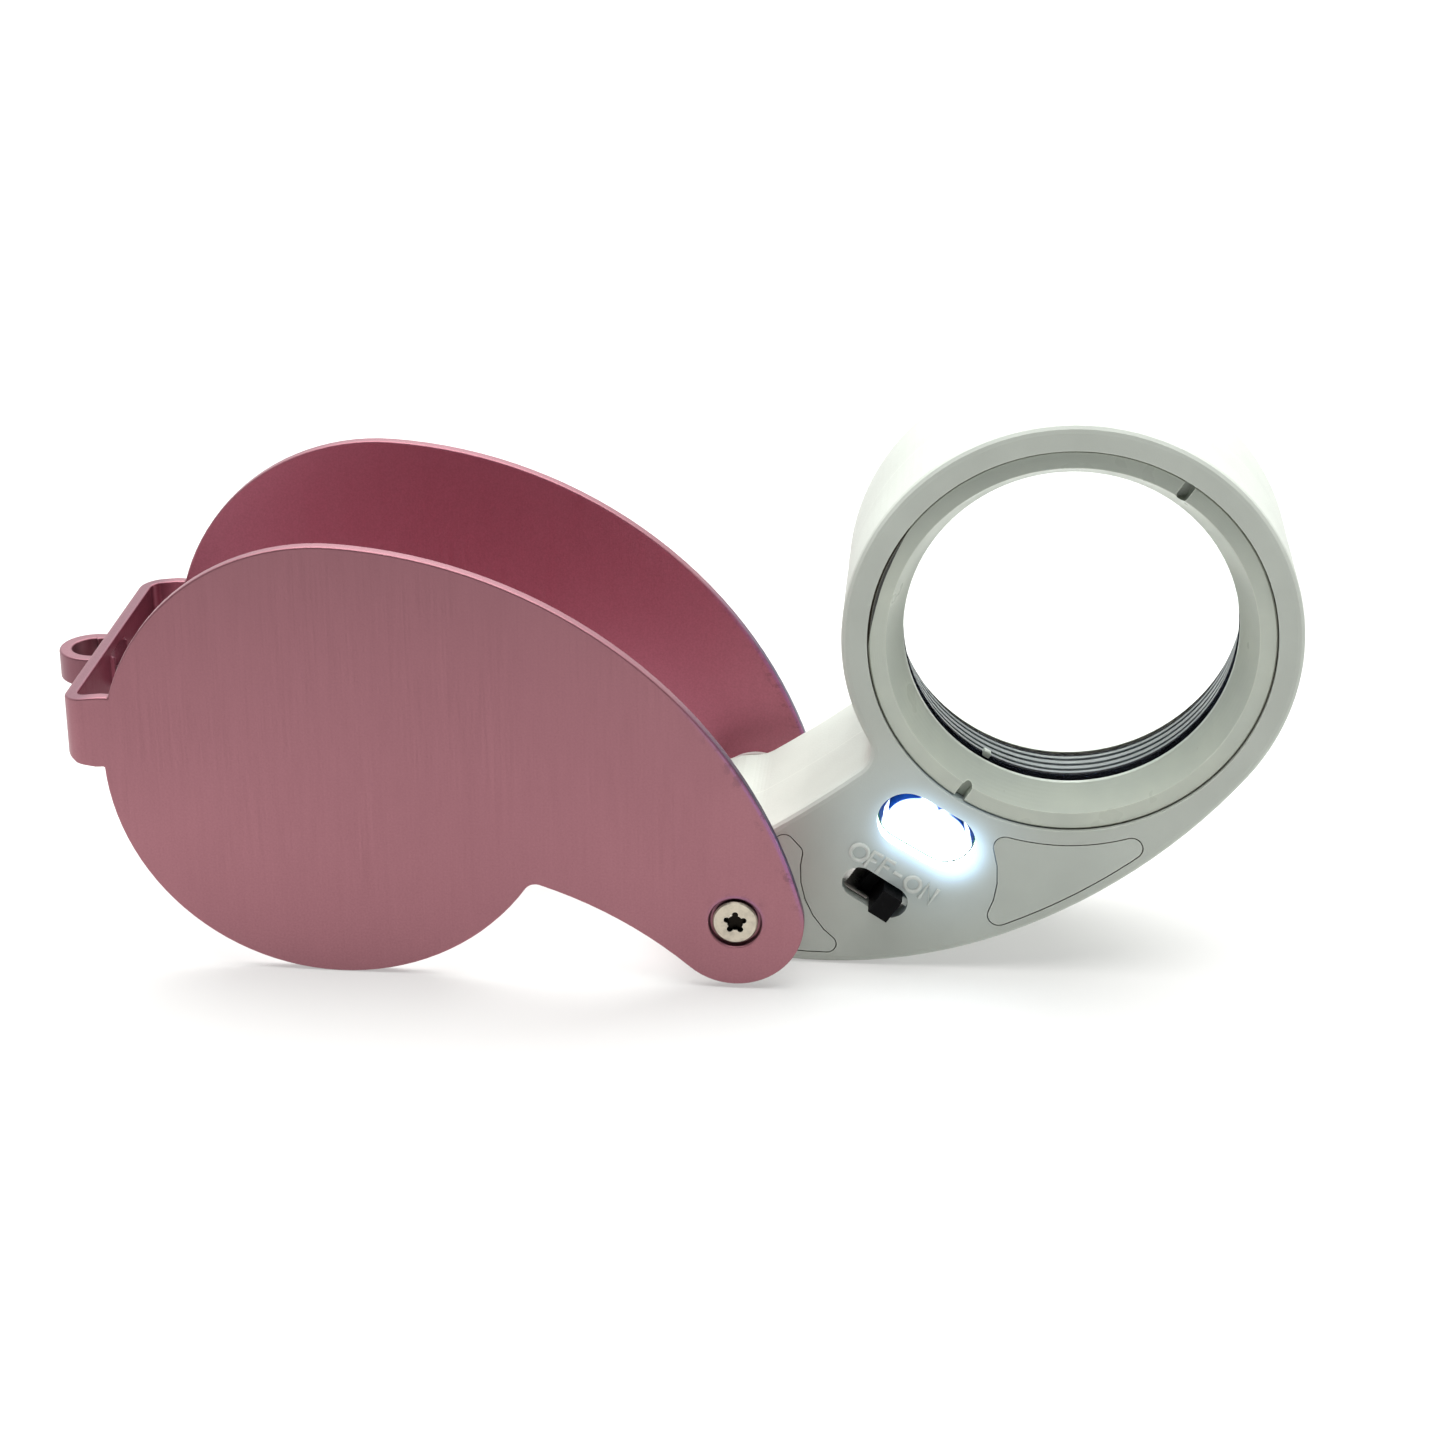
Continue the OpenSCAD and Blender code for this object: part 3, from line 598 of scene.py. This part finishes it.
def round_bars(name, paths, radius, body):
    """Round bars along paths, which are lists of points that end where they began to close"""
    curve = bpy.data.curves.new(name, "CURVE")
    curve.dimensions = "3D"
    curve.bevel_depth = radius * MM
    curve.bevel_resolution = 3
    curve.use_fill_caps = True
    for points in paths:
        closed = points[0] == points[-1]
        points = points[:-1] if closed else points
        spline = curve.splines.new("POLY")
        spline.points.add(len(points) - 1)
        spline.use_cyclic_u = closed
        for target, point in zip(spline.points, points):
            target.co = (*point, 1)
    source = placed(name + "_curve", curve)
    shown = source.evaluated_get(bpy.context.evaluated_depsgraph_get())
    mesh = bpy.data.meshes.new_from_object(shown)
    bpy.data.objects.remove(source)
    return riding(name, mesh, body)


# The raised words OFF-ON, as strokes in millimetres along and across their line
LETTERS_AT = (9.68, -3.05)
LETTERS_RUN = (0.290, -0.957)
LETTERS_OUT = 0.04
LETTER_RADIUS = 0.165
STROKES = [
    [(0.92, -0.70), (0.92, 0.70), (1.70, 0.70)], [(0.92, 0.02), (1.55, 0.02)],      # F
    [(2.03, -0.70), (2.03, 0.73), (2.82, 0.73)], [(2.03, 0.10), (2.65, 0.10)],      # F
    [(3.12, 0.06), (3.83, 0.06)],                                                   # -
    [(5.92, -0.72), (5.92, 0.74), (6.82, -0.74), (6.82, 0.78)],                     # N
]
ROUNDS = [(0.0, 0.68), (4.89, 0.62)]            # the two Os: place along the line, and radius
ROUND_STEPS = 28


def switch_letters():
    """Raised strokes that read OFF-ON beside the switch"""
    turn = [2 * math.pi * i / ROUND_STEPS for i in range(ROUND_STEPS)]
    flat = list(STROKES)
    for start, radius in ROUNDS:
        loop = [(start + radius * math.cos(a), radius * math.sin(a)) for a in turn]
        flat.append(loop + loop[:1])
    (u, v), (x, z) = LETTERS_AT, LETTERS_RUN
    paths = [[on_arm(u + s * x - t * z, v + s * z + t * x, LETTERS_OUT) for s, t in path]
             for path in flat]
    return round_bars("switch_letters", paths, LETTER_RADIUS, "loupe")


# The switch's slot: its middle in millimetres along and across the arm, and its heading there
SLOT_AT = (8.35, -6.45)
SLOT_HEADING = math.radians(-74.3)


def slot_block(name, run, across, depth):
    """A small block inside the switch's slot, from ranges in millimetres"""
    cosine, sine = math.cos(SLOT_HEADING), math.sin(SLOT_HEADING)
    corners = [on_arm(SLOT_AT[0] + s * cosine - t * sine, SLOT_AT[1] + s * sine + t * cosine, -d)
               for s, t, d in itertools.product(run, across, depth)]
    return rounded_block(name, corners, "loupe", edge=0.03)


NIB_ANGLE = math.radians(-118)
NIB_RADIUS = 12.55
NIB_HALF_WIDTH, NIB_HALF_HEIGHT = 0.3, 0.22


def lens_nib():
    """The small pale key that stands in the black band under the front lens"""
    out = Vector((math.cos(NIB_ANGLE), 0, math.sin(NIB_ANGLE)))
    side = Vector((-out.z, 0, out.x))
    front, back = (corner.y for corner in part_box("front_lens_seat"))
    centre = Vector((RING.x, 0, RING.z)) + out * NIB_RADIUS * MM
    corners = []
    for y, a, b in itertools.product((front + 1.2 * MM, back + 0.1 * MM), (-1, 1), (-1, 1)):
        spot = centre + side * a * NIB_HALF_WIDTH * MM + out * b * NIB_HALF_HEIGHT * MM
        corners.append((spot.x, y, spot.z))
    return rounded_block("lens_nib", corners, "loupe", edge=0.07)


# ---- put it together ----


def dress(piece, material):
    """Gives every material slot of a piece one material"""
    if not piece.material_slots:
        piece.data.materials.append(material)
    for slot in piece.material_slots:
        slot.material = material


sheet = anodised_sheet()
shell = moulded_plastic("moulded_plastic", (0.50, 0.535, 0.485), lit=True)
panel = moulded_plastic("panel_plastic", (0.52, 0.56, 0.51))
# A paler copy of the shell plastic: a painted highlight on the raised letters; the slot's stop uses it
# too
letter = plain_plastic("letter_plastic", (0.66, 0.70, 0.66))
spring = plain_plastic("spring_metal", (0.75, 0.69, 0.64))
ring = turned_plastic()
steel = stamped_metal("plated_steel", (0.62, 0.61, 0.58))

LOOKS = {
    "case_shell": sheet,
    "pivot_sleeve": steel,
    "pivot_screws": screw_nickel(),
    "front_friction_washer": plain_plastic("washer_nylon", (0.72, 0.72, 0.68)),
    "front_pivot_spacer": plain_plastic("spacer_plastic", (0.58, 0.60, 0.54)),
    "front_housing": shell,
    "rear_housing": shell,
    "front_retaining_ring": ring,
    "rear_retaining_ring": ring,
    "front_lens": clear_lens(),
    "front_lens_seat": black_plastic("seat_black", 0.6),
    "lens_spacer": ribbed_tube(),
    "pivot_side_inlay": panel,
    "ring_side_inlay": panel,
    "housing_screws": steel,
    "lamp_reflector": lamp_tray(),
    "upper_lamp": lit_lamp(),
    "circuit_board": green_board(),
    "resistor": black_plastic("resistor_black", 0.34),
    "switch_frame": steel,
    "switch_slider": black_plastic("black_plastic", 0.34),
    "button_cell_1": stamped_metal("cell_steel", (0.66, 0.66, 0.64)),
    "positive_contact": stamped_metal("contact_brass", (0.70, 0.50, 0.20)),
    "battery_door": panel,
    "door_screw": steel,
}
SAME = {
    "rear_friction_washer": "front_friction_washer",
    "rear_pivot_spacer": "front_pivot_spacer",
    "rear_lens": "front_lens",
    "rear_lens_seat": "front_lens_seat",
    "lower_lamp": "upper_lamp",
    "button_cell_2": "button_cell_1",
    "button_cell_3": "button_cell_1",
    "negative_contact": "positive_contact",
}
for name, node in nodes.items():
    dress(node, LOOKS[SAME.get(name, name)])

dress(softened("case_shell", "case", width=0.16), sheet)
dress(switch_letters(), letter)
dress(slot_block("switch_spring",
                 run=(-2.1, 0.0), across=(-1.28, -1.15), depth=(0.95, 1.35)), spring)
dress(slot_block("slot_stop",
                 run=(2.05, 2.7), across=(0.25, 0.85), depth=(0.35, 1.0)), letter)
dress(lens_nib(), ring)


# ---- stage, light and camera ----


def floor(size):
    """The table top"""
    form = bmesh.new()
    bmesh.ops.create_grid(form, x_segments=1, y_segments=1, size=size)
    plane = placed("floor", mesh_of("floor", form))
    dress(plane, floor_white())


def softbox(name, spot, aim, size, watts):
    """A round white area light"""
    light = bpy.data.lights.new(name, "AREA")
    light.shape = "DISK"
    light.size = size
    light.energy = watts
    box = placed(name, light)
    box.location = spot
    box.rotation_euler = (Vector(aim) - Vector(spot)).to_track_quat("-Z", "Y").to_euler()


def surroundings(front, back):
    """A light tent, open and darker towards the front"""
    front_y, back_y = -0.45, 0.15       # between these headings it grows from front to back
    world = bpy.data.worlds.new("studio")
    world.use_nodes = True
    tree = world.node_tree
    split = tree.nodes.new("ShaderNodeSeparateXYZ")
    level = tree.nodes.new("ShaderNodeMapRange")
    tree.links.new(tree.nodes.new("ShaderNodeTexCoord").outputs["Generated"], split.inputs[0])
    tree.links.new(split.outputs[1], level.inputs[0])
    for socket, value in zip(level.inputs[1:5], (front_y, back_y, front, back)):
        socket.default_value = value
    tree.links.new(level.outputs[0], tree.nodes["Background"].inputs["Strength"])
    tree.nodes["Background"].inputs["Color"].default_value = (1, 1, 1, 1)
    bpy.context.scene.world = world


def photo_camera(spot, azimuth, elevation, roll, focal_length):
    """The camera, from its place in millimetres and its angles in degrees, looking down"""
    azimuth, elevation, roll = (math.radians(a) for a in (azimuth, elevation, roll))
    forward = Vector((-math.sin(azimuth) * math.cos(elevation),
                      math.cos(azimuth) * math.cos(elevation),
                      -math.sin(elevation)))
    level = Vector((math.cos(azimuth), math.sin(azimuth), 0))
    rise = level.cross(forward)
    right = level * math.cos(roll) + rise * math.sin(roll)
    up = right.cross(forward)
    data = bpy.data.cameras.new("photo_camera")
    data.lens = focal_length
    data.sensor_width = 36
    data.clip_start = 0.01
    camera = placed("photo_camera", data)
    turn = Matrix((right, up, -forward)).transposed().to_4x4()
    camera.matrix_world = Matrix.Translation(Vector(spot) * MM) @ turn
    bpy.context.scene.camera = camera


floor(size=12)
surroundings(front=0.10, back=1.15)
softbox("ceiling", spot=(0.0, 0.15, 0.55), aim=(0, 0, 0.01), size=1.0, watts=9.5)
photo_camera(spot=(21.53, -221.51, 114.16), azimuth=4.405, elevation=23.674, roll=0.406,
             focal_length=76.5)
bpy.context.scene.view_settings.view_transform = "Standard"
